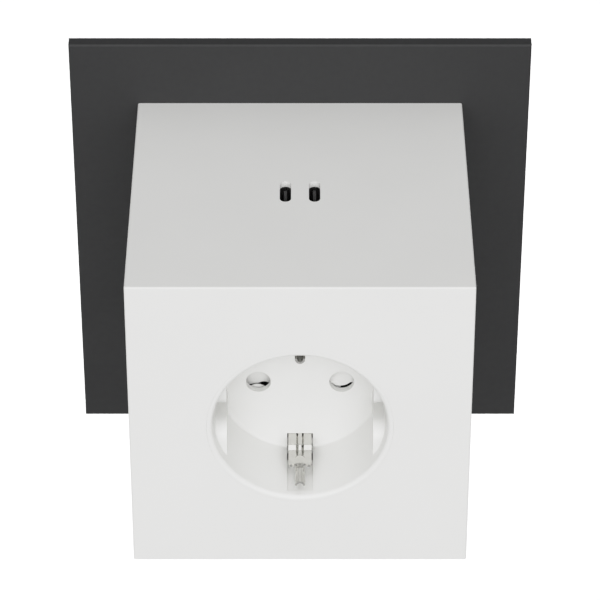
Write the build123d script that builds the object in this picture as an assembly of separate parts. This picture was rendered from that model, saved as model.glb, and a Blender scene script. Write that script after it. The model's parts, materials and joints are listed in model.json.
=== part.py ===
from build123d import *
import os
from math import cos, radians

# Cube-shaped plug-through adapter on a square back plate, in millimetres.
# Frame: origin at the centre of the plate's rear face, on the plug's axis.
# +X right and +Z up as seen from the front, +Y into the wall.

# ---- driving dimensions ----
PIN_SPACING = 19.0          # between the two power pins
PIN_DIA = 4.8
PIN_LENGTH = 19.0
CUBE = 76.5                 # width and height of the housing
CUBE_DEPTH = 76.0
PLATE = 108.2
PLATE_THICK = 3.3
WALL = 2.0
FRONT_WALL = 2.2
EDGE_ROUND = 0.4
PLATE_CHAMFER = 0.35

WELL_MOUTH_R = 20.55        # outer edge of the rounded mouth
WELL_TOP_R = 19.6
WELL_FLOOR_R = 18.8
WELL_DEPTH = 17.3
WELL_FLOOR_THICK = 1.6
MOUTH_ROUND = WELL_MOUTH_R - WELL_TOP_R
INSERT_R = 20.9
PIN_HOLE_R = 2.86
CHEEK_X = 16.5              # side cheeks, flat towards the middle
CHEEK_SETBACK = 3.3
CHEEK_SLOT = 5.3            # slot across each cheek, with its lips rounded
CHEEK_LIP_R = 4.0
CLIP_CHANNEL = 5.9
CHANNEL_REACH = 19.7        # from the plug's axis to the channel's bottom
CHANNEL_SETBACK = 1.9
CHANNEL_WINDOW = 13.5       # set-back where the channel's bottom opens beside the clip
CLIP_PASS = (14.8, 17.0)    # where the earth clips pass the carrier
CLIP_WIDTH = 5.3
CLIP_THICK = 0.7
TONGUE_WIDTH = 2.3

PORT_LONG = 8.34            # inside of one USB-C size mouth
PORT_SHORT = 2.56
PORT_SPACING = 6.6
PORT_SHELL_WALL = 0.3
PORT_RECESS = 1.45          # skin of the top wall over the port shells

NOSE_R = 18.4               # round plug body behind the plate
NOSE_LENGTH = 17.2
PIN_TIP = 1.0

# ---- places worked out from the driving dimensions ----
HALF = CUBE / 2
INNER = HALF - WALL
PIN_X = PIN_SPACING / 2
PLATE_FRONT = -PLATE_THICK
FRONT = PLATE_FRONT - CUBE_DEPTH
INSIDE_FRONT = FRONT + FRONT_WALL
WELL_FLOOR = FRONT + WELL_DEPTH
FLOOR_BACK = WELL_FLOOR + WELL_FLOOR_THICK
SHUTTER_SPACE = 3.4
SHUTTER_GAP = 0.2
PIVOT_R = 1.5
CARRIER_FRONT = FLOOR_BACK + SHUTTER_SPACE
CARRIER_BACK = CARRIER_FRONT + 15.2
CARRIER_FLANGE = 2.5
SHUTTER_FRONT = FLOOR_BACK + SHUTTER_GAP
SHUTTER_BACK = CARRIER_FRONT - SHUTTER_GAP
SPRING_RECESS_R = 4.0
SPRING_RECESS = 2.5
CONTACT_R = 3.4
CONTACT_BORE_R = 2.45
CONTACT_FRONT = CARRIER_FRONT + 1.2
CONTACT_BACK = CONTACT_FRONT + 12.0
BAR_FRONT = CARRIER_BACK + 0.5
BAR_BACK = BAR_FRONT + 0.8

# Top surface of the lower earth clip, from the well's floor to its front edge: (set-back, height).
CLIP_PATH = [(17.3, -15.04), (12.9, -14.75), (11.9, -15.62), (7.1, -15.8)]
CLIP_TIP = (1.6, -16.6)

COVER_THICK = 2.5
COVER_FRONT = PLATE_FRONT - COVER_THICK
NOSE_FLANGE = 2.5
NOSE_FRONT = COVER_FRONT - NOSE_FLANGE
PIN_INNER_END = NOSE_FRONT - 4.0
EARTH_BASE_FRONT = NOSE_FRONT - 0.8
SCREW_SEAT = -1.9           # heads of the rear screws, below the plate's rear face

BOARD_THICK = 1.6
BOARD_FRONT = CARRIER_BACK + 3.5
BOARD_BACK = BOARD_FRONT + BOARD_THICK
BOARD_X = 28.0
BOARD_LOW = -30.0
BOARD_HIGH = 25.0
BOARD_POSTS = [(-25.5, -26.0), (25.5, -26.0), (-25.5, 20.0), (25.5, 20.0)]

CORNER = HALF - 5.65        # housing screw bosses
CORNERS = [(-CORNER, -CORNER), (CORNER, -CORNER), (-CORNER, CORNER), (CORNER, CORNER)]
INSERT_FLANGE_FRONT = FRONT + 7.0
INSERT_FLANGE_THICK = 2.0
INSERT_HALF = 28.0
INSERT_CORNERS = [(-24.0, -24.0), (24.0, -24.0), (-24.0, 24.0), (24.0, 24.0)]
CARRIER_SCREW_POLAR = 13.9
CARRIER_CORNERS = [
    (sx * CARRIER_SCREW_POLAR, sz * CARRIER_SCREW_POLAR) for sx in (-1, 1) for sz in (-1, 1)
]
NOSE_HALF = 22.0
NOSE_CORNERS = [(-19.2, -19.2), (19.2, -19.2), (-19.2, 19.2), (19.2, 19.2)]

PORT_Y = FRONT + CUBE_DEPTH / 2
PORT_TOP = HALF - PORT_RECESS
PORT_BOARD_TOP = 27.4
PORT_BOARD_THICK = 1.4
PORT_BOARD_LOW = PORT_BOARD_TOP - PORT_BOARD_THICK
PORT_POSTS = [(sx * 9.5, PORT_Y + dy) for sx in (-1, 1) for dy in (-8.5, 8.5)]

RADIO_LOW = -31.0
RADIO_THICK = 1.2
RADIO_HIGH = RADIO_LOW + RADIO_THICK
RADIO_FRONT = FRONT + 9.0
RADIO_POSTS = [(sx * 11.5, FRONT + dy) for sx in (-1, 1) for dy in (12.0, 35.0)]
BUTTON_X = -5.0
LIGHT_X = 5.0
BUTTON_Y = FRONT + 24.0
BUTTON_R = 3.0
BUTTON_GAP = 0.3
LIGHT_HOLE_R = 1.3
SWITCH_LOW = RADIO_LOW - 2.4
PLUNGER_LOW = SWITCH_LOW - 1.0

RELAY = (-22.5, -2.5, -23.0, -7.0)      # x0, x1, z0, z1
RELAY_HEIGHT = 15.5
RELAY_BASE = BOARD_BACK + 2.0
COIL_X = -15.6
COIL_Z = -15.0
YOKE_TOP = RELAY_BASE + 9.8
HINGE_X = -9.8
ARMATURE_GAP = 0.5
BLADE_X = HINGE_X + 1.8
BLADE_LOW = RELAY_BASE + 1.6
CONTACT_GAP = 0.5


# ---- small helpers ----
def block(x0, x1, y0, y1, z0, z1):
    centre = Pos((x0 + x1) / 2, (y0 + y1) / 2, (z0 + z1) / 2)
    return centre * Box(x1 - x0, y1 - y0, z1 - z0)


def rod_y(radius, y0, y1, x=0.0, z=0.0):
    return Pos(x, (y0 + y1) / 2, z) * Rot(X=90) * Cylinder(radius, y1 - y0)


def rod_z(radius, z0, z1, x=0.0, y=0.0):
    return Pos(x, y, (z0 + z1) / 2) * Cylinder(radius, z1 - z0)


def rod_x(radius, x0, x1, y=0.0, z=0.0):
    return Pos((x0 + x1) / 2, y, z) * Rot(Y=90) * Cylinder(radius, x1 - x0)


def rounded_block(x0, x1, y0, y1, z0, z1, radius, axis):
    body = block(x0, x1, y0, y1, z0, z1)
    return fillet(body.edges().filter_by(axis), radius)


def half_turn(part):
    return Rot(Y=180) * part


def mirrored(part):
    return mirror(part, Plane.XY)


def stadium_z(length, width, z0, z1, x, y):
    outline = Pos(x, y, z0) * Rot(Z=90) * SlotOverall(length, width)
    return extrude(outline, z1 - z0, dir=(0, 0, 1))


def group(solids):
    return Compound(children=list(solids))


def screw_y(x, z, head_y, tip_y, head_r, shank_r):
    """Pan-head screw along Y: the head lies on the side of head_y away from tip_y."""
    way = 1 if tip_y > head_y else -1
    head_end = head_y - way * head_r * 0.7
    head = rod_y(head_r, min(head_y, head_end), max(head_y, head_end), x, z)
    shank = rod_y(shank_r, min(head_y, tip_y), max(head_y, tip_y), x, z)
    socket = block(
        x - head_r * 0.6, x + head_r * 0.6,
        min(head_end, head_end + way * 0.5), max(head_end, head_end + way * 0.5),
        z - 0.25, z + 0.25,
    )
    cross = Pos(x, 0, z) * Rot(Y=90) * Pos(-x, 0, -z) * socket
    return head + shank - socket - cross


def screw_z(x, y, head_z, tip_z, head_r, shank_r):
    """Pan-head screw along Z."""
    way = 1 if tip_z > head_z else -1
    head_end = head_z - way * head_r * 0.7
    head = rod_z(head_r, min(head_z, head_end), max(head_z, head_end), x, y)
    shank = rod_z(shank_r, min(head_z, tip_z), max(head_z, tip_z), x, y)
    slot = block(
        x - head_r * 0.7, x + head_r * 0.7, y - 0.25, y + 0.25,
        min(head_end, head_end + way * 0.5), max(head_end, head_end + way * 0.5),
    )
    return head + shank - slot


# ---- casing ----
def housing_shell():
    """Five-sided cube, open at the back, with the socket opening and the port mouths."""
    body = block(-HALF, HALF, FRONT, PLATE_FRONT, -HALF, HALF)
    outer_edges = body.edges().filter_by_position(Axis.Y, FRONT, FRONT + CUBE_DEPTH / 2 + 0.1)
    body = fillet(outer_edges, EDGE_ROUND)
    body -= block(-INNER, INNER, INSIDE_FRONT, PLATE_FRONT + 1, -INNER, INNER)
    for x, z in CORNERS:
        boss = rod_y(3.65, INSIDE_FRONT - 0.5, COVER_FRONT - 0.1, x, z)
        body += boss & block(-HALF + 1, HALF - 1, FRONT, 0, -HALF + 1, HALF - 1)
        body -= rod_y(1.3, COVER_FRONT - 18, COVER_FRONT + 1, x, z)
    for x, z in INSERT_CORNERS:
        body += rod_y(2.8, INSIDE_FRONT - 0.5, INSERT_FLANGE_FRONT, x, z)
        body -= rod_y(0.95, INSIDE_FRONT, INSERT_FLANGE_FRONT + 1, x, z)
    for x, y in PORT_POSTS:
        body += rod_z(2.0, PORT_BOARD_TOP, INNER + 0.5, x, y)
        body -= rod_z(0.75, PORT_BOARD_TOP - 1, PORT_BOARD_TOP + 6, x, y)
    for x, y in RADIO_POSTS:
        body += rod_z(2.0, -INNER - 0.5, RADIO_LOW, x, y)
        body -= rod_z(0.75, RADIO_LOW - 4.5, RADIO_LOW + 1, x, y)
    body -= rod_y(INSERT_R + 0.03, FRONT - 1, INSIDE_FRONT + 1)
    for side in (-1, 1):
        x = side * PORT_SPACING / 2
        mouth = stadium_z(PORT_LONG, PORT_SHORT, INNER - 1, HALF + 1, x, PORT_Y)
        pocket = stadium_z(PORT_LONG + 0.8, PORT_SHORT + 0.8, INNER - 1, PORT_TOP, x, PORT_Y)
        body = body - mouth - pocket
    body -= rod_z(BUTTON_R + BUTTON_GAP, -HALF - 1, -INNER + 1, BUTTON_X, BUTTON_Y)
    body -= rod_z(LIGHT_HOLE_R, -HALF - 1, -INNER + 1, LIGHT_X, BUTTON_Y)
    return body


def wall_plate():
    """Thin square plate behind the cube, with a chamfered front edge."""
    half = PLATE / 2
    plate = block(-half, half, PLATE_FRONT, 0, -half, half)
    front_edges = plate.faces().sort_by(Axis.Y)[0].edges()
    plate = chamfer(front_edges, PLATE_CHAMFER)
    plate -= rod_y(NOSE_R + 0.2, PLATE_FRONT - 1, 1)
    for x, z in CORNERS:
        plate -= rod_y(1.5, PLATE_FRONT - 1, 1, x, z)
        plate -= rod_y(2.7, SCREW_SEAT, 1, x, z)
    return plate


def rear_cover():
    """Lid in the back of the cube; its four long posts carry the power board."""
    half = INNER - 0.15
    cover = rounded_block(-half, half, COVER_FRONT, PLATE_FRONT, -half, half, 0.6, Axis.Y)
    for x, z in BOARD_POSTS:
        cover += rod_y(2.5, BOARD_BACK, COVER_FRONT + 0.5, x, z)
        cover -= rod_y(0.95, BOARD_BACK - 1, BOARD_BACK + 8, x, z)
    cover -= rod_y(NOSE_R + 0.2, COVER_FRONT - 1, 0)
    for x, z in CORNERS:
        cover -= rod_y(1.5, COVER_FRONT - 1, 0, x, z)
    for x, z in NOSE_CORNERS:
        cover -= rod_y(0.95, COVER_FRONT - 1, COVER_FRONT + 2.1, x, z)
    return cover


def housing_screws():
    """Four screws through the plate and the lid into the cube's corner bosses."""
    tip = COVER_FRONT - 16
    return group(screw_y(x, z, SCREW_SEAT, tip, 2.5, 1.2) for x, z in CORNERS)


# ---- socket in the front ----
def socket_insert():
    """Round socket well with its floor, side cheeks, clip channels and flange."""
    mouth_mid = MOUTH_ROUND * cos(radians(45))
    floor_round = 0.6
    floor_mid = floor_round * cos(radians(45))
    mouth_y = FRONT + MOUTH_ROUND
    cavity_r = 18.2
    outline = [
        Line((0, WELL_FLOOR), (WELL_FLOOR_R - floor_round, WELL_FLOOR)),
        ThreePointArc(
            (WELL_FLOOR_R - floor_round, WELL_FLOOR),
            (WELL_FLOOR_R - floor_round + floor_mid, WELL_FLOOR - floor_round + floor_mid),
            (WELL_FLOOR_R, WELL_FLOOR - floor_round),
        ),
        Line((WELL_FLOOR_R, WELL_FLOOR - floor_round), (WELL_TOP_R, mouth_y)),
        ThreePointArc(
            (WELL_TOP_R, mouth_y),
            (WELL_MOUTH_R - mouth_mid, mouth_y - mouth_mid),
            (WELL_MOUTH_R, FRONT),
        ),
        Polyline(
            (WELL_MOUTH_R, FRONT), (INSERT_R, FRONT), (INSERT_R, CARRIER_FRONT),
            (cavity_r, CARRIER_FRONT), (cavity_r, FLOOR_BACK), (0, FLOOR_BACK), (0, WELL_FLOOR),
        ),
    ]
    cup = revolve(make_face(Curve() + outline), Axis.Y, 360)

    flange_back = INSERT_FLANGE_FRONT + INSERT_FLANGE_THICK
    flange = rounded_block(
        -INSERT_HALF, INSERT_HALF, INSERT_FLANGE_FRONT, flange_back,
        -INSERT_HALF, INSERT_HALF, 4.0, Axis.Y,
    )
    flange -= rod_y(INSERT_R - 0.4, INSERT_FLANGE_FRONT - 1, flange_back + 1)
    cup += flange

    cheek_front = FRONT + CHEEK_SETBACK
    cheek_back = WELL_FLOOR + 0.4
    cheek = block(CHEEK_X, INSERT_R, cheek_front, cheek_back, -INSERT_R, INSERT_R)
    half_slot = CHEEK_SLOT / 2
    cheek -= block(CHEEK_X - 1, INSERT_R + 1, cheek_front - 1, cheek_back + 1, -half_slot, half_slot)
    lips = cheek.edges().filter_by(Axis.X).filter_by_position(Axis.Z, -half_slot - 0.1, half_slot + 0.1)
    cheek = fillet(lips.group_by(Axis.Y)[0], CHEEK_LIP_R)
    cheek &= rod_y(INSERT_R - 0.5, cheek_front - 1, cheek_back)
    cup = cup + cheek + half_turn(cheek)

    half_channel = CLIP_CHANNEL / 2
    for side in (-1, 1):
        low, high = sorted((side * 15.0, side * CHANNEL_REACH))
        cup -= block(-half_channel, half_channel, FRONT + CHANNEL_SETBACK, WELL_FLOOR, low, high)
        low, high = sorted((side * CLIP_PASS[0], side * CHANNEL_REACH))
        cup -= block(-half_channel, half_channel, WELL_FLOOR - 1, FLOOR_BACK + 1, low, high)
        low, high = sorted((side * 15.0, side * (INSERT_R + 1)))
        cup -= block(-half_channel, half_channel, FRONT + CHANNEL_WINDOW, WELL_FLOOR, low, high)
        cup -= rod_y(PIN_HOLE_R, WELL_FLOOR - 1, FLOOR_BACK + 1, side * PIN_X)
    for x, z in INSERT_CORNERS:
        cup -= rod_y(1.2, INSERT_FLANGE_FRONT - 1, flange_back + 1, x, z)
    for x, z in CARRIER_CORNERS:
        cup -= rod_y(0.85, FLOOR_BACK - 1.0, CARRIER_FRONT + 1, x, z)
    return cup


def insert_screws():
    head = INSERT_FLANGE_FRONT + INSERT_FLANGE_THICK
    return group(screw_y(x, z, head, INSIDE_FRONT + 0.4, 2.0, 0.9) for x, z in INSERT_CORNERS)


def shutter():
    """Turning shutter: each arm has a sloping pad over its pin hole and a thin lobe under the pad."""
    pad_r = 3.04
    pad_x = -9.3
    pad_z = -0.34
    pad_round = 0.55
    pad_low = pad_z - pad_r
    pad_high = pad_z + pad_r
    slope = 0.23
    bar_outer = -7.3
    bar_high = 1.9
    backing_high = 3.3
    backing_setback = 0.6
    shoulder_outer = -12.9
    shoulder_high = 1.65
    slit_outer = -11.6
    lobe_r = 2.53
    lobe_x = -9.72
    lobe_z = -4.86
    lobe_front = SHUTTER_FRONT + 0.3
    lobe_back = lobe_front + 0.3
    rib_back = lobe_front + 1.3

    pad = rod_y(pad_r, SHUTTER_FRONT, SHUTTER_BACK, pad_x, pad_z)
    arm = fillet(pad.faces().sort_by(Axis.Y)[0].edges(), pad_round)
    arm += block(bar_outer, 0, SHUTTER_FRONT, SHUTTER_BACK, pad_low, bar_high)
    arm += block(pad_x, 0, SHUTTER_FRONT + backing_setback, SHUTTER_BACK, pad_z, backing_high)
    arm += block(shoulder_outer, pad_x, SHUTTER_FRONT, SHUTTER_BACK, pad_low, shoulder_high)
    slit = make_face(Curve() + [
        Polyline((-7.15, -2.47), (-6.5, -2.9), (-6.5, -5), (slit_outer, -5), (slit_outer, -3.0), (-9.6, -2.57),
                 (-8.95, -2.22)),
        ThreePointArc((-8.95, -2.22), (-8.3, -2.05), (-7.15, -2.47)),
    ])
    arm -= Pos(0, SHUTTER_FRONT, 0) * extrude(Plane.XZ * slit, SHUTTER_SPACE, dir=(0, 1, 0))
    ramp_profile = Polyline(
        (SHUTTER_FRONT - 1, pad_high), (SHUTTER_FRONT, pad_high),
        (SHUTTER_FRONT + slope * 2 * pad_r, pad_low), (SHUTTER_FRONT - 1, pad_low),
        (SHUTTER_FRONT - 1, pad_high),
    )
    ramp_cut = extrude(Plane.YZ * make_face(ramp_profile), 20, dir=(-1, 0, 0))
    arm -= ramp_cut & block(-20, -4.5, SHUTTER_FRONT - 1, SHUTTER_BACK, -5, 5)
    arm += block(shoulder_outer, slit_outer, SHUTTER_FRONT, SHUTTER_BACK, lobe_z - 1.5, pad_low + 0.2)
    arm += rod_y(lobe_r, lobe_front, lobe_back, lobe_x, lobe_z)
    arm += block(slit_outer - 0.1, lobe_x + 1.5, lobe_front, rib_back, lobe_z - 1.5, lobe_z - 0.3)
    hub = rod_y(4.0, SHUTTER_FRONT, SHUTTER_BACK)
    rotor = hub + arm + half_turn(arm)
    rotor -= rod_y(PIVOT_R + 0.05, SHUTTER_FRONT + 0.6, SHUTTER_BACK + 1)
    return rotor


def shutter_spring():
    """Torsion coil round the pivot, in a recess of the carrier."""
    wire_r = 0.22
    coil_r = 2.7
    turns = 3
    pitch = 0.55
    path = Helix(pitch, pitch * turns, coil_r)
    section = Plane(path @ 0, z_dir=path % 0) * Circle(wire_r)
    coil = sweep(section, path, is_frenet=True)
    return Pos(0, CARRIER_FRONT + 0.35, 0) * Rot(X=-90) * coil


def contact_carrier():
    """Moulded block behind the well that holds the two pin contacts and the shutter's pivot."""
    flange_back = CARRIER_FRONT + CARRIER_FLANGE
    carrier = rod_y(INSERT_R, CARRIER_FRONT, flange_back)
    carrier += rounded_block(-15, 15, flange_back - 0.5, CARRIER_BACK, -6.5, 6.5, 2.0, Axis.Y)
    carrier -= rod_y(SPRING_RECESS_R, CARRIER_FRONT - 1, CARRIER_FRONT + SPRING_RECESS)
    carrier += rod_y(PIVOT_R, SHUTTER_FRONT + 0.9, CARRIER_FRONT + SPRING_RECESS + 0.5)
    for side in (-1, 1):
        carrier -= rod_y(CONTACT_R + 0.1, CARRIER_FRONT - 1, CARRIER_BACK + 1, side * PIN_X)
        low, high = sorted((side * CLIP_PASS[0], side * CLIP_PASS[1]))
        carrier -= block(
            -CLIP_CHANNEL / 2, CLIP_CHANNEL / 2, CARRIER_FRONT - 1, flange_back + 1, low, high
        )
    for x, z in CARRIER_CORNERS:
        carrier -= rod_y(1.1, CARRIER_FRONT - 1, flange_back + 1, x, z)
    return carrier


def carrier_screws():
    head = CARRIER_FRONT + CARRIER_FLANGE
    return group(screw_y(x, z, head, FLOOR_BACK - 0.6, 1.7, 0.8) for x, z in CARRIER_CORNERS)


def pin_contact(side):
    """Slit spring sleeve that grips one pin, with a tail to the power board."""
    x = side * PIN_X
    sleeve = rod_y(CONTACT_R, CONTACT_FRONT, CONTACT_BACK, x)
    sleeve -= rod_y(CONTACT_BORE_R, CONTACT_FRONT - 1, CONTACT_BACK - 1.2, x)
    sleeve -= block(x - 0.4, x + 0.4, CONTACT_FRONT - 1, CONTACT_BACK - 3, -5, 5)
    tail = block(x - 1.2, x + 1.2, CONTACT_BACK - 0.5, BOARD_FRONT, -0.35, 0.35)
    return sleeve + tail


def earth_clip():
    """Lower earth clip: a bent strip with a narrow tongue that dives towards the mouth."""
    top = [(BAR_FRONT, CLIP_PATH[0][1])] + [(FRONT + s, z) for s, z in CLIP_PATH]
    bottom = [(y, z - CLIP_THICK) for y, z in reversed(top)]
    strip_profile = make_face(Polyline(*top, *bottom, top[0]))
    strip = extrude(Plane.YZ * strip_profile, CLIP_WIDTH / 2, both=True)
    root = (FRONT + CLIP_PATH[-1][0] + 0.8, CLIP_PATH[-1][1])
    tip = (FRONT + CLIP_TIP[0], CLIP_TIP[1])
    tongue_profile = make_face(Polyline(
        root, tip, (tip[0], tip[1] - CLIP_THICK), (root[0], root[1] - CLIP_THICK), root
    ))
    tongue = extrude(Plane.YZ * tongue_profile, TONGUE_WIDTH / 2, both=True)
    return strip + tongue


def socket_earth_strap():
    """Both earth clips and the cross bar that joins them behind the carrier."""
    clip = earth_clip()
    reach = -CLIP_PATH[0][1] + CLIP_THICK
    bar = block(-CLIP_WIDTH / 2, CLIP_WIDTH / 2, BAR_FRONT - 0.01, BAR_BACK, -reach, reach)
    return clip + mirrored(clip) + bar


# ---- plug on the back ----
def plug_nose():
    """Round plug body that goes into the wall socket, with side notches and earth channels."""
    nose = rod_y(NOSE_R, NOSE_FRONT, NOSE_LENGTH)
    tip_edge = nose.edges().sort_by(Axis.Y)[-1]
    nose = chamfer(tip_edge, 0.8)
    nose += rounded_block(
        -NOSE_HALF, NOSE_HALF, NOSE_FRONT, COVER_FRONT, -NOSE_HALF, NOSE_HALF, 3.0, Axis.Y
    )
    for side in (-1, 1):
        low, high = sorted((side * 16.2, side * 19.0))
        nose -= block(low, high, 1.5, NOSE_LENGTH + 1, -12, -4.2)
        nose -= block(low, high, 1.5, NOSE_LENGTH + 1, 4.2, 12)
        low, high = sorted((side * 15.3, side * 19.0))
        nose -= block(-2.6, 2.6, 1.5, NOSE_LENGTH + 1, low, high)
        low, high = sorted((side * 15.3, side * 16.3))
        nose -= block(-2.4, 2.4, NOSE_FRONT - 1, 2, low, high)
        nose -= rod_y(2.75, NOSE_FRONT - 1, NOSE_LENGTH + 1, side * PIN_X)
    for x, z in NOSE_CORNERS:
        nose -= rod_y(1.2, NOSE_FRONT - 1, COVER_FRONT + 1, x, z)
    return nose


def nose_screws():
    return group(screw_y(x, z, NOSE_FRONT, COVER_FRONT + 1.8, 2.0, 0.9) for x, z in NOSE_CORNERS)


def plug_pin(side):
    """Power pin: thick root in the nose, 4.8 mm pin beyond it, chamfered tip."""
    x = side * PIN_X
    tip = NOSE_LENGTH + PIN_LENGTH
    root = rod_y(2.7, NOSE_FRONT, NOSE_LENGTH, x)
    head = rod_y(3.2, PIN_INNER_END, NOSE_FRONT, x)
    pin = rod_y(PIN_DIA / 2, NOSE_LENGTH - 1, tip, x)
    tip_edge = pin.edges().sort_by(Axis.Y)[-1]
    pin = chamfer(tip_edge, PIN_TIP)
    return root + head + pin


def plug_earth_strips():
    """Earth contact strips in the top and bottom of the nose, joined by a bar inside."""
    bar = block(-2.3, 2.3, EARTH_BASE_FRONT, NOSE_FRONT, -16.2, 16.2)
    for side in (-1, 1):
        low, high = sorted((side * 15.4, side * 16.2))
        bar += block(-2.3, 2.3, EARTH_BASE_FRONT, NOSE_LENGTH - 2.5, low, high)
    return bar


def lead(x, y0, y1):
    """Flat conductor that runs straight back along the plug's axis."""
    return block(x - 1.5, x + 1.5, y0, y1, -0.4, 0.4)


# ---- power board and what stands on it ----
def power_board():
    board = block(-BOARD_X, BOARD_X, BOARD_FRONT, BOARD_BACK, BOARD_LOW, BOARD_HIGH)
    for x, z in BOARD_POSTS:
        board -= rod_y(1.2, BOARD_FRONT - 1, BOARD_BACK + 1, x, z)
    board -= block(-2.0, 2.0, BOARD_FRONT - 1, BOARD_BACK + 1, -0.9, 0.9)
    return board


def board_screws():
    return group(screw_y(x, z, BOARD_FRONT, BOARD_BACK + 7, 2.0, 0.9) for x, z in BOARD_POSTS)


def relay_base():
    x0, x1, z0, z1 = RELAY
    return block(x0, x1, BOARD_BACK, RELAY_BASE, z0, z1)


def relay_case():
    x0, x1, z0, z1 = RELAY
    skin = 0.8
    top = BOARD_BACK + RELAY_HEIGHT
    case = rounded_block(x0, x1, RELAY_BASE, top, z0, z1, 0.6, Axis.Y)
    return case - block(x0 + skin, x1 - skin, RELAY_BASE - 1, top - skin, z0 + skin, z1 - skin)


def relay_coil():
    low = RELAY_BASE + 1.2
    coil = rod_y(4.6, low, low + 0.8, COIL_X, COIL_Z)
    coil += rod_y(4.1, low + 0.5, YOKE_TOP - 1.6, COIL_X, COIL_Z)
    coil += rod_y(4.6, YOKE_TOP - 2.0, YOKE_TOP - 1.2, COIL_X, COIL_Z)
    return coil - rod_y(1.65, low - 1, YOKE_TOP, COIL_X, COIL_Z)


def relay_yoke():
    """Iron core and the L-shaped frame that leads the field round to the armature."""
    pole_top = YOKE_TOP - ARMATURE_GAP + 0.1
    core = rod_y(1.6, RELAY_BASE + 0.5, pole_top, COIL_X, COIL_Z)
    pole = rod_y(3.0, YOKE_TOP - 1.1, pole_top, COIL_X, COIL_Z)
    foot = block(-20.8, HINGE_X + 0.6, RELAY_BASE, RELAY_BASE + 1.1, -19, -11)
    leg = block(HINGE_X - 0.6, HINGE_X + 0.6, RELAY_BASE, YOKE_TOP, -19, -11)
    return core + pole + foot + leg


def relay_armature():
    low = YOKE_TOP + 0.1
    plate = block(-20.4, HINGE_X + 1.6, low, low + 1.0, -19, -11)
    return fillet(plate.edges().filter_by(Axis.Y), 0.6)


def relay_moving_contact():
    """Contact blade that hangs from the armature beside the yoke."""
    low = YOKE_TOP + 0.1
    blade = block(BLADE_X - 0.2, BLADE_X + 0.2, BLADE_LOW, low + 1.0, -17, -13)
    button = rod_x(1.2, BLADE_X + 0.1, BLADE_X + 0.8, BLADE_LOW + 1.6, -15)
    return blade + button


def relay_fixed_contact():
    face = BLADE_X + 0.8 + CONTACT_GAP
    post = block(face + 0.6, face + 1.3, RELAY_BASE, BLADE_LOW + 4.0, -17.5, -12.5)
    button = rod_x(1.2, face, face + 0.7, BLADE_LOW + 1.6, -15)
    return post + button


def transformer_core():
    ring = block(3.0, 21.0, BOARD_BACK + 2.5, BOARD_BACK + 15.5, -20.0, -10.0)
    ring -= block(5.2, 9.6, BOARD_BACK + 4.7, BOARD_BACK + 13.3, -21, -9)
    return ring - block(14.4, 18.8, BOARD_BACK + 4.7, BOARD_BACK + 13.3, -21, -9)


def transformer_winding():
    outer = rounded_block(5.4, 18.6, BOARD_BACK + 4.9, BOARD_BACK + 13.1, -23.0, -7.0, 1.0, Axis.Y)
    outer -= block(9.5, 14.5, BOARD_BACK, BOARD_BACK + 20, -20.2, -9.8)
    foot = block(6.0, 18.0, BOARD_BACK, BOARD_BACK + 5.0, -23.0, -20.8)
    return outer + foot + block(6.0, 18.0, BOARD_BACK, BOARD_BACK + 5.0, -9.2, -7.0)


def capacitor_can(x, z, radius, height):
    can = rod_y(radius, BOARD_BACK, BOARD_BACK + height, x, z)
    return fillet(can.edges().sort_by(Axis.Y)[-1], 0.5)


def input_capacitors():
    return group([capacitor_can(-20.0, 12.6, 4.0, 14.0), capacitor_can(-11.0, 12.6, 4.0, 14.0)])


def output_capacitors():
    return group([capacitor_can(-2.5, 13.0, 3.15, 11.0), capacitor_can(5.0, 13.0, 3.15, 11.0)])


def filter_capacitor():
    return rounded_block(-27.0, -14.0, BOARD_BACK, BOARD_BACK + 11.0, 2.6, 7.6, 0.8, Axis.Y)


def line_choke():
    ring = Pos(18.0, BOARD_BACK + 4.5, 11.0) * Rot(X=90) * Torus(4.3, 1.9)
    base = rod_y(5.0, BOARD_BACK, BOARD_BACK + 3.6, 18.0, 11.0)
    return ring + base


def bridge_rectifier():
    return rounded_block(22.6, 27.6, BOARD_BACK, BOARD_BACK + 9.0, -17.0, -11.0, 0.5, Axis.X)


def fuse():
    tube = rod_x(1.5, 14.0, 22.0, BOARD_BACK + 2.4, -2.5)
    caps = rod_x(1.8, 13.0, 15.0, BOARD_BACK + 2.4, -2.5) + rod_x(1.8, 21.0, 23.0, BOARD_BACK + 2.4, -2.5)
    legs = block(13.4, 14.2, BOARD_BACK, BOARD_BACK + 1.5, -2.9, -2.1)
    legs += block(21.8, 22.6, BOARD_BACK, BOARD_BACK + 1.5, -2.9, -2.1)
    return tube + caps + legs


def varistor():
    disc = rod_z(4.5, -4.6, -1.4, -20.0, BOARD_BACK + 5.5)
    legs = block(-22.9, -22.1, BOARD_BACK, BOARD_BACK + 3.0, -3.4, -2.6)
    legs += block(-17.9, -17.1, BOARD_BACK, BOARD_BACK + 3.0, -3.4, -2.6)
    return disc + legs


def metering_shunt():
    bridge = block(14.0, 22.0, BOARD_BACK, BOARD_BACK + 4.0, 1.8, 3.0)
    return bridge - block(15.0, 21.0, BOARD_BACK - 1, BOARD_BACK + 3.2, 1, 4)


# ---- charging ports in the top ----
def port_board():
    board = block(-12, 12, PORT_Y - 11, PORT_Y + 11, PORT_BOARD_LOW, PORT_BOARD_TOP)
    for x, y in PORT_POSTS:
        board -= rod_z(0.95, PORT_BOARD_LOW - 1, PORT_BOARD_TOP + 1, x, y)
    return board


def port_board_screws():
    low = PORT_BOARD_LOW
    return group(screw_z(x, y, low, PORT_BOARD_TOP + 5, 1.6, 0.7) for x, y in PORT_POSTS)


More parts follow.
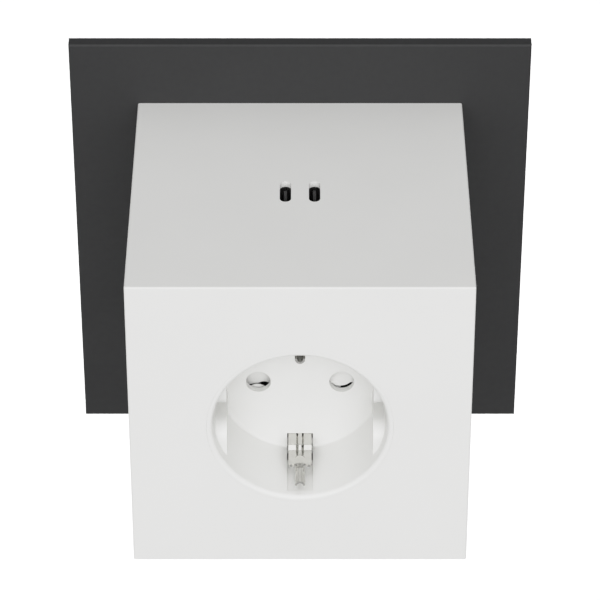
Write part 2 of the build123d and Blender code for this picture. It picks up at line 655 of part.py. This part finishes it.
def port_shell(side):
    """Drawn steel shell of one port."""
    x = side * PORT_SPACING / 2
    rim = 2 * PORT_SHELL_WALL
    shell = stadium_z(PORT_LONG + rim, PORT_SHORT + rim, PORT_BOARD_TOP, PORT_TOP, x, PORT_Y)
    return shell - stadium_z(PORT_LONG, PORT_SHORT, PORT_BOARD_TOP - 1, PORT_TOP + 1, x, PORT_Y)


def port_tongue(side):
    """Moulded core of one port: a plug at the bottom of the shell and the thin tongue."""
    x = side * PORT_SPACING / 2
    core = stadium_z(PORT_LONG - 0.04, PORT_SHORT - 0.04, PORT_BOARD_TOP, PORT_BOARD_TOP + 3.2, x, PORT_Y)
    tongue = rounded_block(
        x - 0.35, x + 0.35, PORT_Y - 3.3, PORT_Y + 3.3,
        PORT_BOARD_TOP + 3.0, PORT_TOP - 0.5, 0.2, Axis.Z,
    )
    return core + tongue


def port_header():
    return block(-6, 6, BOARD_FRONT - 3, BOARD_FRONT, 22, PORT_BOARD_LOW)


def port_inductor():
    y = PORT_Y - 6.5
    return rounded_block(
        -3.3, 3.3, y - 3.3, y + 3.3, PORT_BOARD_LOW - 3.2, PORT_BOARD_LOW, 1.0, Axis.Z
    )


# ---- radio board, pairing button and status light in the underside ----
def radio_board():
    board = block(-14, 14, RADIO_FRONT, BOARD_FRONT - 1, RADIO_LOW, RADIO_HIGH)
    for x, y in RADIO_POSTS:
        board -= rod_z(0.95, RADIO_LOW - 1, RADIO_HIGH + 1, x, y)
    return board


def radio_board_screws():
    return group(screw_z(x, y, RADIO_HIGH, RADIO_LOW - 4, 1.6, 0.7) for x, y in RADIO_POSTS)


def radio_shield():
    skin = 0.3
    y0, y1 = RADIO_FRONT + 4.0, RADIO_FRONT + 18.0
    top = RADIO_HIGH + 2.6
    can = rounded_block(-8, 8, y0, y1, RADIO_HIGH, top, 1.0, Axis.Z)
    return can - block(-8 + skin, 8 - skin, y0 + skin, y1 - skin, RADIO_HIGH - 1, top - skin)


def radio_header():
    return block(-6, 6, BOARD_FRONT - 3, BOARD_FRONT, RADIO_HIGH, RADIO_HIGH + 2.6)


def button_switch():
    body = rounded_block(
        BUTTON_X - 3, BUTTON_X + 3, BUTTON_Y - 3, BUTTON_Y + 3, SWITCH_LOW, RADIO_LOW, 0.4, Axis.Z
    )
    return body - rod_z(1.85, SWITCH_LOW - 1, SWITCH_LOW + 1.6, BUTTON_X, BUTTON_Y)


def switch_plunger():
    return rod_z(1.6, PLUNGER_LOW, SWITCH_LOW + 0.8, BUTTON_X, BUTTON_Y)


def pairing_button():
    """Round push button, flush with the underside, with a flange that keeps it in."""
    flange_low = -INNER + 0.3
    cap = rod_z(BUTTON_R, -HALF, flange_low + 0.4, BUTTON_X, BUTTON_Y)
    cap = chamfer(cap.edges().sort_by(Axis.Z)[0], 0.3)
    cap += rod_z(BUTTON_R + 0.9, flange_low, flange_low + 0.8, BUTTON_X, BUTTON_Y)
    return cap + rod_z(1.6, flange_low + 0.4, PLUNGER_LOW, BUTTON_X, BUTTON_Y)


def status_light():
    return block(LIGHT_X - 1.5, LIGHT_X + 1.5, BUTTON_Y - 1, BUTTON_Y + 1, RADIO_LOW - 1, RADIO_LOW)


def light_guide():
    guide = rod_z(1.25, -HALF, RADIO_LOW - 1.4, LIGHT_X, BUTTON_Y)
    return guide + rod_z(2.0, -INNER, -INNER + 1.0, LIGHT_X, BUTTON_Y)


PARTS = {
    "housing_shell": housing_shell(),
    "wall_plate": wall_plate(),
    "rear_cover": rear_cover(),
    "housing_screws": housing_screws(),
    "socket_insert": socket_insert(),
    "insert_screws": insert_screws(),
    "shutter": shutter(),
    "shutter_spring": shutter_spring(),
    "contact_carrier": contact_carrier(),
    "carrier_screws": carrier_screws(),
    "socket_contact_left": pin_contact(-1),
    "socket_contact_right": pin_contact(1),
    "socket_earth_strap": socket_earth_strap(),
    "plug_nose": plug_nose(),
    "nose_screws": nose_screws(),
    "plug_pin_left": plug_pin(-1),
    "plug_pin_right": plug_pin(1),
    "plug_earth_strips": plug_earth_strips(),
    "lead_left": lead(-PIN_X, BOARD_BACK, PIN_INNER_END),
    "lead_right": lead(PIN_X, BOARD_BACK, PIN_INNER_END),
    "earth_lead": lead(0.0, BAR_BACK, EARTH_BASE_FRONT),
    "power_board": power_board(),
    "board_screws": board_screws(),
    "relay_base": relay_base(),
    "relay_case": relay_case(),
    "relay_coil": relay_coil(),
    "relay_yoke": relay_yoke(),
    "relay_armature": relay_armature(),
    "relay_moving_contact": relay_moving_contact(),
    "relay_fixed_contact": relay_fixed_contact(),
    "transformer_core": transformer_core(),
    "transformer_winding": transformer_winding(),
    "input_capacitors": input_capacitors(),
    "output_capacitors": output_capacitors(),
    "filter_capacitor": filter_capacitor(),
    "line_choke": line_choke(),
    "bridge_rectifier": bridge_rectifier(),
    "fuse": fuse(),
    "varistor": varistor(),
    "metering_shunt": metering_shunt(),
    "port_board": port_board(),
    "port_board_screws": port_board_screws(),
    "port_shell_left": port_shell(-1),
    "port_shell_right": port_shell(1),
    "port_tongue_left": port_tongue(-1),
    "port_tongue_right": port_tongue(1),
    "port_header": port_header(),
    "port_inductor": port_inductor(),
    "radio_board": radio_board(),
    "radio_board_screws": radio_board_screws(),
    "radio_shield": radio_shield(),
    "radio_header": radio_header(),
    "button_switch": button_switch(),
    "switch_plunger": switch_plunger(),
    "pairing_button": pairing_button(),
    "status_light": status_light(),
    "light_guide": light_guide(),
}

os.makedirs("parts", exist_ok=True)
for name, part in PARTS.items():
    export_step(part, f"parts/{name}.step")
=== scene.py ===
import json
import math
import bmesh
import bpy
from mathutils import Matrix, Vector


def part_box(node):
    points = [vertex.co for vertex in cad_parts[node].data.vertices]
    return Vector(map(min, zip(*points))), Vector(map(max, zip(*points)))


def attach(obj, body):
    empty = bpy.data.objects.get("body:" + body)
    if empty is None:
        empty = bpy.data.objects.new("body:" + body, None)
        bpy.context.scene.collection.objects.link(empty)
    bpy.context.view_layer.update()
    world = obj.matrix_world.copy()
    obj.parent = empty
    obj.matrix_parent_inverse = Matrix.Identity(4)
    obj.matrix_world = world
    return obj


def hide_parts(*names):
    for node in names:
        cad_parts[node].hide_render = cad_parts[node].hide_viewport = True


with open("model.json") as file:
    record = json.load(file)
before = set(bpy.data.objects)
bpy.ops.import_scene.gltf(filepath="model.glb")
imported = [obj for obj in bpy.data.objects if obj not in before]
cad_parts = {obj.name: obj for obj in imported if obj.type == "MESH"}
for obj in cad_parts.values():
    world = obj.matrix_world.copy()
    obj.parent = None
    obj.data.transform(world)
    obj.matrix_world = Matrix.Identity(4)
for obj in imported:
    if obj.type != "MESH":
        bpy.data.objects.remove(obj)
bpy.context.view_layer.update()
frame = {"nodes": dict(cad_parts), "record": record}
MM = 0.001

# ---- places taken from the frame ----
housing_low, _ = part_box("housing_shell")
FRONT = housing_low.y
strap_low, strap_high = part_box("socket_earth_strap")


# ---- camera, floor and light ----
CAMERA_AHEAD = 0.56993      # in front of the cube's front face
CAMERA_ABOVE = 0.43705      # above the cube's centre
CAMERA_PITCH = 35.2         # degrees below the horizon
LENS = 192.6                # mm on a 36 mm sensor
FLOOR_DROP = 0.40           # floor below the plug's axis
FLOOR_TONE = 0.55
AMBIENT = 0.3
WHITE_LEVEL = 1.5           # light that is shown as full white
TONE_CURVE = [(0.3, 0.3), (0.5, 0.5), (0.62, 0.61), (0.8, 0.735), (0.95, 0.80), (1.1, 0.85), (1.3, 0.92)]
KEY_POWER = 22.0            # watts
HIGH_POWER = 6.0
FLOOR_POWER = 10.0


def make_camera():
    data = bpy.data.cameras.new("camera")
    data.lens = LENS
    data.sensor_width = 36.0
    data.clip_start = 0.01
    data.clip_end = 50.0
    camera = bpy.data.objects.new("camera", data)
    camera.location = (0.0, FRONT - CAMERA_AHEAD, CAMERA_ABOVE)
    camera.rotation_euler = (math.radians(90.0 - CAMERA_PITCH), 0.0, 0.0)
    bpy.context.scene.collection.objects.link(camera)
    bpy.context.scene.camera = camera


def make_floor():
    mesh = bpy.data.meshes.new("floor")
    bm = bmesh.new()
    bmesh.ops.create_grid(bm, x_segments=2, y_segments=2, size=8.0)
    bm.to_mesh(mesh)
    bm.free()
    floor = bpy.data.objects.new("floor", mesh)
    floor.location = (0.0, 0.0, -FLOOR_DROP)
    bpy.context.scene.collection.objects.link(floor)
    material = bpy.data.materials.new("floor_white")
    material.use_nodes = True
    surface = material.node_tree.nodes["Principled BSDF"]
    surface.inputs["Base Color"].default_value = (FLOOR_TONE, FLOOR_TONE, FLOOR_TONE, 1.0)
    surface.inputs["Roughness"].default_value = 0.9
    surface.inputs["Specular IOR Level"].default_value = 0.0
    mesh.materials.append(material)


def add_panel(name, location, target, size, power):
    """Large soft light panel aimed at target."""
    data = bpy.data.lights.new(name, "AREA")
    data.shape = "RECTANGLE"
    data.size, data.size_y = size
    data.energy = power
    panel = bpy.data.objects.new(name, data)
    panel.location = location
    panel.rotation_euler = (Vector(target) - Vector(location)).to_track_quat("-Z", "Y").to_euler()
    panel.visible_camera = False
    bpy.context.scene.collection.objects.link(panel)


def aimed_panel(name, elevation, distance, size, power):
    """Panel in front of the cube, at an elevation in degrees."""
    centre = Vector((0.0, FRONT, 0.0))
    rise = math.radians(elevation)
    away = Vector((0.0, -math.cos(rise), math.sin(rise))) * distance
    add_panel(name, centre + away, centre, size, power)


def make_light():
    world = bpy.data.worlds.new("studio")
    bpy.context.scene.world = world
    world.use_nodes = True
    nodes, links = world.node_tree.nodes, world.node_tree.links
    ambient = nodes["Background"]
    ambient.inputs["Color"].default_value = (1.0, 1.0, 1.0, 1.0)
    ambient.inputs["Strength"].default_value = AMBIENT
    seen = nodes.new("ShaderNodeBackground")
    seen.inputs["Color"].default_value = (1.0, 1.0, 1.0, 1.0)
    seen.inputs["Strength"].default_value = WHITE_LEVEL
    ray = nodes.new("ShaderNodeLightPath")
    mix = nodes.new("ShaderNodeMixShader")
    links.new(ray.outputs["Is Camera Ray"], mix.inputs["Fac"])
    links.new(ambient.outputs["Background"], mix.inputs[1])
    links.new(seen.outputs["Background"], mix.inputs[2])
    links.new(mix.outputs["Shader"], nodes["World Output"].inputs["Surface"])
    aimed_panel("key_panel", 24.0, 1.6, (2.2, 1.2), KEY_POWER)
    aimed_panel("high_panel", 68.0, 1.4, (1.8, 0.8), HIGH_POWER)
    add_panel("floor_panel", (0.0, 0.58, -0.12), (0.0, 0.58, -1.0), (1.2, 0.6), FLOOR_POWER)
    soften_highlights()


def soften_highlights():
    """Standard display with a soft shoulder, so that bright plastic keeps its shape."""
    view = bpy.context.scene.view_settings
    view.view_transform = "Standard"
    view.use_curve_mapping = True
    mapping = view.curve_mapping
    mapping.white_level = (WHITE_LEVEL, WHITE_LEVEL, WHITE_LEVEL)
    curve = mapping.curves[3]
    for light, shown in TONE_CURVE:
        curve.points.new(light / WHITE_LEVEL, shown)
    mapping.update()


# ---- materials ----
def new_material(name, color, roughness, metallic=0.0):
    material = bpy.data.materials.new(name)
    material.use_nodes = True
    surface = material.node_tree.nodes["Principled BSDF"]
    surface.inputs["Base Color"].default_value = (*color, 1.0)
    surface.inputs["Roughness"].default_value = roughness
    surface.inputs["Metallic"].default_value = metallic
    return material, surface


def noise(material, scale, detail=3.0, stretch=(1.0, 1.0, 1.0)):
    """Noise in the object's own space, with scale in cells per metre."""
    nodes, links = material.node_tree.nodes, material.node_tree.links
    place = nodes.new("ShaderNodeTexCoord")
    mapping = nodes.new("ShaderNodeMapping")
    mapping.inputs["Scale"].default_value = stretch
    texture = nodes.new("ShaderNodeTexNoise")
    texture.inputs["Scale"].default_value = scale
    texture.inputs["Detail"].default_value = detail
    links.new(place.outputs["Object"], mapping.inputs["Vector"])
    links.new(mapping.outputs["Vector"], texture.inputs["Vector"])
    return texture.outputs["Fac"]


def spread(material, value, low, high, socket):
    """Maps a 0 to 1 value to low to high and feeds it to a shader socket."""
    nodes, links = material.node_tree.nodes, material.node_tree.links
    ramp = nodes.new("ShaderNodeMapRange")
    ramp.inputs["From Min"].default_value = 0.3
    ramp.inputs["From Max"].default_value = 0.7
    ramp.inputs["To Min"].default_value = low
    ramp.inputs["To Max"].default_value = high
    links.new(value, ramp.inputs["Value"])
    links.new(ramp.outputs["Result"], socket)


def shade(material, surface, value, low, high):
    """Varies the base colour between two colours."""
    nodes, links = material.node_tree.nodes, material.node_tree.links
    ramp = nodes.new("ShaderNodeValToRGB")
    ramp.color_ramp.elements[0].position = 0.3
    ramp.color_ramp.elements[0].color = (*low, 1.0)
    ramp.color_ramp.elements[1].position = 0.7
    ramp.color_ramp.elements[1].color = (*high, 1.0)
    links.new(value, ramp.inputs["Fac"])
    links.new(ramp.outputs["Color"], surface.inputs["Base Color"])


def bump(material, surface, value, depth, strength=1.0):
    nodes, links = material.node_tree.nodes, material.node_tree.links
    relief = nodes.new("ShaderNodeBump")
    relief.inputs["Strength"].default_value = strength
    relief.inputs["Distance"].default_value = depth
    links.new(value, relief.inputs["Height"])
    links.new(relief.outputs["Normal"], surface.inputs["Normal"])


def moulded_plastic(name, color, roughness, variation=0.01, grain=4000.0, depth=0.000004):
    """Moulded plastic: faint tone drift, uneven gloss and a fine eroded grain."""
    material, surface = new_material(name, color, roughness)
    low = tuple(c * (1.0 - variation) for c in color)
    high = tuple(min(1.0, c * (1.0 + variation)) for c in color)
    shade(material, surface, noise(material, 45.0), low, high)
    spread(material, noise(material, 700.0), roughness - 0.04, roughness + 0.04, surface.inputs["Roughness"])
    bump(material, surface, noise(material, grain, 2.0), depth)
    return material


def plated_metal(name, color, roughness, along=(1.0, 0.05, 1.0)):
    """Rolled and plated strip: drawn streaks along the strip and small tarnish clouds."""
    material, surface = new_material(name, color, roughness, 1.0)
    streaks = noise(material, 9000.0, 2.0, along)
    low = tuple(c * 0.9 for c in color)
    shade(material, surface, noise(material, 500.0), low, color)
    spread(material, streaks, roughness * 0.75, roughness * 1.3, surface.inputs["Roughness"])
    bump(material, surface, streaks, 0.000002)
    return material


def make_materials():
    white = (0.88, 0.88, 0.865)
    dark = (0.0235, 0.0237, 0.0247)
    made = {
        "white_housing": moulded_plastic("white_housing", white, 0.42),
        "white_insert": moulded_plastic("white_insert", (0.895, 0.895, 0.88), 0.36),
        "white_shutter": moulded_plastic("white_shutter", (0.88, 0.88, 0.865), 0.4),
        "white_button": moulded_plastic("white_button", white, 0.38),
        "anthracite_plate": moulded_plastic("anthracite_plate", dark, 0.55, 0.06, 5000.0, 0.000008),
        "nose_plastic": moulded_plastic("nose_plastic", dark, 0.5, 0.05),
        "dark_plastic": moulded_plastic("dark_plastic", (0.01, 0.01, 0.011), 0.55, 0.05),
        "chip_plastic": moulded_plastic("chip_plastic", (0.012, 0.012, 0.012), 0.6, 0.1),
        "port_plastic": moulded_plastic("port_plastic", (0.008, 0.008, 0.008), 0.35, 0.1),
        "relay_plastic": moulded_plastic("relay_plastic", (0.02, 0.06, 0.25), 0.3, 0.05),
        "tape_winding": moulded_plastic("tape_winding", (0.6, 0.45, 0.05), 0.35, 0.08),
        "film_box": moulded_plastic("film_box", (0.55, 0.42, 0.06), 0.35, 0.05),
        "varistor_coat": moulded_plastic("varistor_coat", (0.03, 0.08, 0.28), 0.25, 0.1),
        "can_sleeve": moulded_plastic("can_sleeve", (0.01, 0.01, 0.02), 0.25, 0.1),
        "ceramic_tube": moulded_plastic("ceramic_tube", (0.75, 0.72, 0.65), 0.4, 0.03),
        "ferrite": moulded_plastic("ferrite", (0.03, 0.03, 0.032), 0.7, 0.15),
        "board": moulded_plastic("board", (0.02, 0.12, 0.05), 0.3, 0.15),
        "led_lens": moulded_plastic("led_lens", (0.8, 0.8, 0.6), 0.2, 0.03),
        "nickel_strip": plated_metal("nickel_strip", (0.66, 0.655, 0.63), 0.2),
        "nickel_pin": plated_metal("nickel_pin", (0.74, 0.72, 0.68), 0.2),
        "port_steel": plated_metal("port_steel", (0.5, 0.5, 0.5), 0.3, (1.0, 1.0, 0.05)),
        "screw_steel": plated_metal("screw_steel", (0.6, 0.6, 0.6), 0.35),
        "spring_steel": plated_metal("spring_steel", (0.5, 0.5, 0.52), 0.3),
        "contact_brass": plated_metal("contact_brass", (0.75, 0.55, 0.25), 0.3),
        "copper_winding": plated_metal("copper_winding", (0.65, 0.27, 0.1), 0.3),
        "iron": plated_metal("iron", (0.45, 0.45, 0.46), 0.45),
        "can_metal": plated_metal("can_metal", (0.6, 0.6, 0.58), 0.35),
    }
    made["light_guide"] = clear_guide()
    return made


def clear_guide():
    material, surface = new_material("light_guide", (0.9, 0.93, 0.95), 0.1)
    surface.inputs["Transmission Weight"].default_value = 0.8
    surface.inputs["IOR"].default_value = 1.49
    spread(material, noise(material, 900.0), 0.08, 0.2, surface.inputs["Roughness"])
    return material


def paint_nodes(materials):
    slots = {s["node"]: s["material_slot"] for s in frame["record"]["subparts"]}
    for node, piece in frame["nodes"].items():
        material = materials[slots[node]]
        if not piece.data.materials:
            piece.data.materials.append(material)
        for i in range(len(piece.data.materials)):
            piece.data.materials[i] = material


# ---- earth strap: both clips and the cross bar, one bent strip ----
STRIP_HALF = strap_high.x / MM
STRIP_THICK = 0.5                       # mm, as all sizes in this section
BAR_THICK = 0.8                         # of the cross bar in the CAD
BAR_SETBACK = (strap_high.y - FRONT) / MM - BAR_THICK
FLOOR_SETBACK = 17.3
STRIP_HEIGHT = 14.84                    # from the plug's axis to the strip's inner side
SHOULDER = 7.1                          # set-back where the wide strip ends and the tongue goes on
SHOULDER_HEIGHT = -15.8
# Inner side of the lower half, from the cross bar's middle to the tongue's tip:
# set-back from the front, height.
STRAP_CORNERS = [
    (BAR_SETBACK, 0.0), (BAR_SETBACK, -STRIP_HEIGHT), (FLOOR_SETBACK, -STRIP_HEIGHT), (12.9, -14.75),
    (11.9, -15.62), (SHOULDER, SHOULDER_HEIGHT), (1.6, -16.6),
]
STRAP_BENDS = [1.2, 2.0, 0.12, 0.25, 1.0]
FINE_STEP = 0.14                        # between points of the visible runs
COARSE_STEP = 3.0
TONGUE_HALF = 1.15
TONGUE_FLANK = 0.15                     # straight side below the gutter's quarter rounds
TONGUE_FORMED = 5.9                     # set-back where the tongue is a full gutter
BEAD_END = 10.4                         # set-back where the bead runs out
BEAD_HALF = 0.63
BEAD_HEIGHT = 0.2
GROOVE_DEPTH = 0.42
GROOVE_SPREAD = 0.13
SWELL_MIDDLE = 8.6
SWELL_LENGTH = 1.8
SWELL_HALF = 1.2
SWELL_HEIGHT = 0.3
LIP = (1.42, 2.5)                       # from and to, across the strip
LIP_REACH = 0.8
LIP_TAPER = 0.22
LIP_ANGLE = math.radians(-6.0)          # turned slightly towards the plug's axis


def smooth_step(x, low, high):
    t = min(1.0, max(0.0, (x - low) / (high - low)))
    return t * t * (3.0 - 2.0 * t)


def strap_line():
    """Points of half the strap's line with its corners rounded and its visible runs finely divided."""
    corners = [Vector(c) for c in STRAP_CORNERS]
    knots = [corners[0]]
    for before, corner, after, bend in zip(corners, corners[1:], corners[2:], STRAP_BENDS):
        back, ahead = (before - corner).normalized(), (after - corner).normalized()
        reach = bend / math.tan(back.angle(ahead) / 2.0)
        for i in range(7):
            t = i / 6.0
            start, end = corner + back * reach, corner + ahead * reach
            knots.append(start * (1 - t) ** 2 + corner * 2 * t * (1 - t) + end * t * t)
    knots.append(corners[-1])
    line = [knots[0]]
    for a, b in zip(knots, knots[1:]):
        step = FINE_STEP if b.x < FLOOR_SETBACK + 0.5 else COARSE_STEP
        parts = max(1, math.ceil((b - a).length / step))
        line += [a.lerp(b, (i + 1) / parts) for i in range(parts)]
    return line


def strip_relief(x, back):
    """Height of the pressed bead with its two grooves, and of the swelling before the tongue."""
    across = abs(x)
    beaded = smooth_step(back, BEAD_END - 0.15, BEAD_END + 0.15)
    bead = BEAD_HEIGHT * math.sqrt(max(0.0, 1.0 - (across / BEAD_HALF) ** 2))
    groove = -GROOVE_DEPTH * math.exp(-((across - BEAD_HALF) / GROOVE_SPREAD) ** 2)
    far = (across / SWELL_HALF) ** 2 + (max(0.0, back - SWELL_MIDDLE) / SWELL_LENGTH) ** 2
    return beaded * (bead + groove) + SWELL_HEIGHT * math.sqrt(max(0.0, 1.0 - far))


def tongue_point(side_way, back):
    """Across and drop of the tongue's gutter section, for side_way from -1 to 1."""
    formed = 1.0 - smooth_step(back, TONGUE_FORMED, SHOULDER)
    way = abs(side_way)
    quarter = math.pi / 2.0 * TONGUE_HALF
    travel = way * (quarter + TONGUE_FLANK)
    if travel < quarter:
        angle = travel / TONGUE_HALF
        across, drop = TONGUE_HALF * math.sin(angle), TONGUE_HALF * (1.0 - math.cos(angle))
    else:
        across, drop = TONGUE_HALF, TONGUE_HALF + travel - quarter
    flat_raise = SWELL_HEIGHT * math.sqrt(max(0.0, 1.0 - (way * TONGUE_HALF / SWELL_HALF) ** 2))
    across = across * formed + way * TONGUE_HALF * (1.0 - formed)
    drop = drop * formed - flat_raise * (1.0 - formed)
    return math.copysign(across, side_way), drop


def add_rows(bm, rows, flip):
    """Quads between rows, facing the plug's axis."""
    for a, b in zip(rows, rows[1:]):
        for j in range(len(a) - 1):
            quad = (a[j], a[j + 1], b[j + 1], b[j])
            bm.faces.new(quad[::-1] if flip else quad)


def strap_vert(bm, x, back, height, half):
    """Vertex at a place of the lower half, or mirrored for the upper half (half 1 and -1)."""
    return bm.verts.new((x * MM, FRONT + back * MM, half * height * MM))


def strap_half(bm, half):
    """Strip, tongue and the two corner lips of one half."""
    line = strap_line()
    wide_steps, tongue_steps, lip_steps = 60, 28, 8
    strip_rows, tongue_rows = [], []
    for i, here in enumerate(line):
        along = (line[min(i + 1, len(line) - 1)] - line[max(i - 1, 0)]).normalized()
        normal = Vector((along.y, -along.x))
        if here.x >= SHOULDER - 0.001:
            row = []
            for j in range(wide_steps + 1):
                x = STRIP_HALF * (2.0 * j / wide_steps - 1.0)
                relief = strip_relief(x, here.x) if here.x < FLOOR_SETBACK + 1.0 else 0.0
                place = here + normal * relief
                row.append(strap_vert(bm, x, place.x, place.y, half))
            strip_rows.append(row)
        if here.x <= SHOULDER + 0.3:
            row = []
            for j in range(tongue_steps + 1):
                x, drop = tongue_point(2.0 * j / tongue_steps - 1.0, min(here.x, SHOULDER))
                place = here - normal * drop
                row.append(strap_vert(bm, x, place.x, place.y, half))
            tongue_rows.append(row)
    add_rows(bm, strip_rows, half > 0)
    add_rows(bm, tongue_rows, half > 0)
    for side in (-1.0, 1.0):
        rows = []
        for i in range(9):
            t = i / 8.0
            turn = LIP_ANGLE * min(1.0, t * 2.0)
            back = SHOULDER - LIP_REACH * (t * 0.5 + 0.5 * math.sin(turn) / 2.0)
            height = SHOULDER_HEIGHT - LIP_REACH * t * math.sin(turn)
            narrow = LIP_TAPER * max(0.0, t - 0.6) / 0.4
            row = []
            for j in range(lip_steps + 1):
                x = LIP[0] + narrow + (LIP[1] - LIP[0] - 2.0 * narrow) * j / lip_steps
                row.append(strap_vert(bm, side * x, back, height, half))
            rows.append(row)
        add_rows(bm, rows, half * side > 0)


def make_strap():
    """Both halves as one sheet, given its thickness on the side away from the plug's axis.

    A few edges stay open where the tongue meets the strip.
    """
    bm = bmesh.new()
    for half in (1.0, -1.0):
        strap_half(bm, half)
    bmesh.ops.remove_doubles(bm, verts=bm.verts, dist=0.00001)
    mesh = bpy.data.meshes.new("earth_strap")
    bm.to_mesh(mesh)
    bm.free()
    strap = bpy.data.objects.new("earth_strap", mesh)
    bpy.context.scene.collection.objects.link(strap)
    solid = strap.modifiers.new("thickness", "SOLIDIFY")
    solid.thickness = STRIP_THICK * MM
    solid.offset = -1.0
    with bpy.context.temp_override(object=strap, active_object=strap, selected_objects=[strap]):
        bpy.ops.object.modifier_apply(modifier=solid.name)
    mark_sharp(strap.data, 50.0)
    return strap


def mark_sharp(mesh, degrees):
    """Smooth shading, with edges over an angle kept sharp."""
    bm = bmesh.new()
    bm.from_mesh(mesh)
    for face in bm.faces:
        face.smooth = True
    for edge in bm.edges:
        edge.smooth = edge.calc_face_angle(0.0) < math.radians(degrees)
    bm.to_mesh(mesh)
    bm.free()


make_camera()
make_floor()
make_light()
materials = make_materials()
paint_nodes(materials)

strap = make_strap()
strap.data.materials.append(materials["nickel_strip"])
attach(strap, "adapter")
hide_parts("socket_earth_strap")
